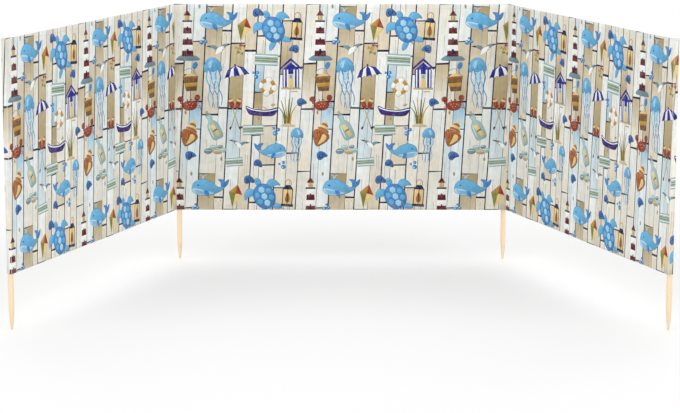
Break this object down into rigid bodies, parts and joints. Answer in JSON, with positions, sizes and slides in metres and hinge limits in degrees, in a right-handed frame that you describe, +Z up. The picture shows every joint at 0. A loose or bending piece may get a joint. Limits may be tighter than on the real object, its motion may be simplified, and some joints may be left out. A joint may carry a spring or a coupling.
{
  "type": "beach windbreak",
  "caption": "Free-standing cloth screen of equal printed bays on pointed wooden poles, staked into sand or turf as a splayed U to keep off wind and give privacy",
  "frame": {"origin": "the middle of the flat tip of pole_2, the pole at the left corner, where it enters the ground", "axes": "+Z up along the poles, +X along the middle bay from pole_2 to pole_3, and -Y to the open, sheltered side that shows the print"},
  "size_m": [2.2539, 1.2137, 0.995],
  "materials": {
    "printed_cloth": "matt printed woven polyester",
    "sewn_cloth": "matt woven polyester, the print's pale reverse",
    "pole_wood": "bare sanded pine"
  },
  "bodies": {
    "root": {"pole_1": "pole_wood", "pole_2": "pole_wood", "pole_3": "pole_wood", "pole_4": "pole_wood", "panel_left": "printed_cloth", "panel_centre": "printed_cloth", "panel_right": "printed_cloth", "pocket_1": "sewn_cloth", "pocket_2": "sewn_cloth", "pocket_3": "sewn_cloth", "pocket_4": "sewn_cloth", "pocket_cap_1": "sewn_cloth", "pocket_cap_2": "sewn_cloth", "pocket_cap_3": "sewn_cloth", "pocket_cap_4": "sewn_cloth", "top_hem_left": "sewn_cloth", "top_hem_centre": "sewn_cloth", "top_hem_right": "sewn_cloth", "bottom_hem_left": "sewn_cloth", "bottom_hem_centre": "sewn_cloth", "bottom_hem_right": "sewn_cloth"}
  },
  "joints": []
}
